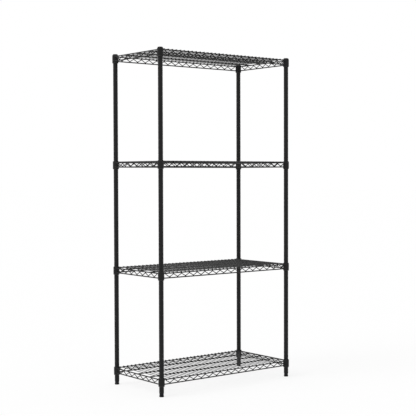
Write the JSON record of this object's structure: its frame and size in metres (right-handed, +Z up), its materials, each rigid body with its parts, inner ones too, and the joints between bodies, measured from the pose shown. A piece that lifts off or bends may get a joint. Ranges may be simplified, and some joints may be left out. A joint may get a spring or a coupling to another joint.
{
  "type": "wire shelving rack",
  "caption": "Free-standing black wire shelving rack with grooved tube posts, welded truss-edged wire shelves held on split sleeves, domed caps and levelling feet.",
  "frame": {"origin": "on the floor under the middle of the rack, level with the undersides of the foot pads", "axes": "+X along the long side to the right, -Y to the front, +Z up"},
  "size_m": [0.92, 0.458, 1.831],
  "materials": {
    "black_epoxy": "smooth satin black epoxy powder coat over steel",
    "black_plastic": "moulded black polypropylene, fine grain",
    "sleeve_plastic": "moulded black plastic, smooth taper",
    "black_zinc": "black zinc plated steel, on the studs and the threaded inserts"
  },
  "bodies": {
    "root": {"post_front_left": "black_epoxy", "post_cap_front_left": "black_plastic", "foot_insert_front_left": "black_zinc", "post_front_right": "black_epoxy", "post_cap_front_right": "black_plastic", "foot_insert_front_right": "black_zinc", "post_back_left": "black_epoxy", "post_cap_back_left": "black_plastic", "foot_insert_back_left": "black_zinc", "post_back_right": "black_epoxy", "post_cap_back_right": "black_plastic", "foot_insert_back_right": "black_zinc", "sleeve_pair_bottom_front_left": "sleeve_plastic", "sleeve_pair_bottom_front_right": "sleeve_plastic", "sleeve_pair_bottom_back_left": "sleeve_plastic", "sleeve_pair_bottom_back_right": "sleeve_plastic", "sleeve_pair_lower_front_left": "sleeve_plastic", "sleeve_pair_lower_front_right": "sleeve_plastic", "sleeve_pair_lower_back_left": "sleeve_plastic", "sleeve_pair_lower_back_right": "sleeve_plastic", "sleeve_pair_upper_front_left": "sleeve_plastic", "sleeve_pair_upper_front_right": "sleeve_plastic", "sleeve_pair_upper_back_left": "sleeve_plastic", "sleeve_pair_upper_back_right": "sleeve_plastic", "sleeve_pair_top_front_left": "sleeve_plastic", "sleeve_pair_top_front_right": "sleeve_plastic", "sleeve_pair_top_back_left": "sleeve_plastic", "sleeve_pair_top_back_right": "sleeve_plastic"},
    "bottom_shelf": {"bottom_collars": "black_epoxy", "bottom_front_truss": "black_epoxy", "bottom_back_truss": "black_epoxy", "bottom_side_trusses": "black_epoxy", "bottom_deck_wires": "black_epoxy", "bottom_stiffeners": "black_epoxy"},
    "lower_shelf": {"lower_collars": "black_epoxy", "lower_front_truss": "black_epoxy", "lower_back_truss": "black_epoxy", "lower_side_trusses": "black_epoxy", "lower_deck_wires": "black_epoxy", "lower_stiffeners": "black_epoxy"},
    "upper_shelf": {"upper_collars": "black_epoxy", "upper_front_truss": "black_epoxy", "upper_back_truss": "black_epoxy", "upper_side_trusses": "black_epoxy", "upper_deck_wires": "black_epoxy", "upper_stiffeners": "black_epoxy"},
    "top_shelf": {"top_collars": "black_epoxy", "top_front_truss": "black_epoxy", "top_back_truss": "black_epoxy", "top_side_trusses": "black_epoxy", "top_deck_wires": "black_epoxy", "top_stiffeners": "black_epoxy"},
    "foot_pad_front_left": {"foot_pad_front_left": "black_plastic"},
    "foot_stud_front_left": {"foot_stud_front_left": "black_zinc"},
    "foot_pad_front_right": {"foot_pad_front_right": "black_plastic"},
    "foot_stud_front_right": {"foot_stud_front_right": "black_zinc"},
    "foot_pad_back_left": {"foot_pad_back_left": "black_plastic"},
    "foot_stud_back_left": {"foot_stud_back_left": "black_zinc"},
    "foot_pad_back_right": {"foot_pad_back_right": "black_plastic"},
    "foot_stud_back_right": {"foot_stud_back_right": "black_zinc"}
  },
  "joints": [
    {"name": "bottom_shelf_lift", "type": "slide", "parent": "root", "child": "bottom_shelf", "axis": [0, 0, 1], "range_m": [0, 0.512]},
    {"name": "lower_shelf_lift", "type": "slide", "parent": "root", "child": "lower_shelf", "axis": [0, 0, 1], "range_m": [0, 0.537]},
    {"name": "upper_shelf_lift", "type": "slide", "parent": "root", "child": "upper_shelf", "axis": [0, 0, 1], "range_m": [0, 0.537]},
    {"name": "top_shelf_lift", "type": "slide", "parent": "root", "child": "top_shelf", "axis": [0, 0, 1], "range_m": [0, 0.12]},
    {"name": "foot_drop_front_left", "type": "slide", "parent": "root", "child": "foot_pad_front_left", "axis": [0, 0, -1], "range_m": [0, 0.012]},
    {"name": "foot_turn_front_left", "type": "hinge", "parent": "foot_pad_front_left", "child": "foot_stud_front_left", "pos_m": [-0.443, -0.212, 0], "axis": [0, 0, -1], "range_deg": [0, 2880]},
    {"name": "foot_drop_front_right", "type": "slide", "parent": "root", "child": "foot_pad_front_right", "axis": [0, 0, -1], "range_m": [0, 0.012]},
    {"name": "foot_turn_front_right", "type": "hinge", "parent": "foot_pad_front_right", "child": "foot_stud_front_right", "pos_m": [0.443, -0.212, 0], "axis": [0, 0, -1], "range_deg": [0, 2880]},
    {"name": "foot_drop_back_left", "type": "slide", "parent": "root", "child": "foot_pad_back_left", "axis": [0, 0, -1], "range_m": [0, 0.012]},
    {"name": "foot_turn_back_left", "type": "hinge", "parent": "foot_pad_back_left", "child": "foot_stud_back_left", "pos_m": [-0.443, 0.212, 0], "axis": [0, 0, -1], "range_deg": [0, 2880]},
    {"name": "foot_drop_back_right", "type": "slide", "parent": "root", "child": "foot_pad_back_right", "axis": [0, 0, -1], "range_m": [0, 0.012]},
    {"name": "foot_turn_back_right", "type": "hinge", "parent": "foot_pad_back_right", "child": "foot_stud_back_right", "pos_m": [0.443, 0.212, 0], "axis": [0, 0, -1], "range_deg": [0, 2880]}
  ],
  "couplings": [
    {"joint": "foot_turn_front_left", "follows": "foot_drop_front_left", "rad_per_m": 4188.8},
    {"joint": "foot_turn_front_right", "follows": "foot_drop_front_right", "rad_per_m": 4188.8},
    {"joint": "foot_turn_back_left", "follows": "foot_drop_back_left", "rad_per_m": 4188.8},
    {"joint": "foot_turn_back_right", "follows": "foot_drop_back_right", "rad_per_m": 4188.8}
  ]
}
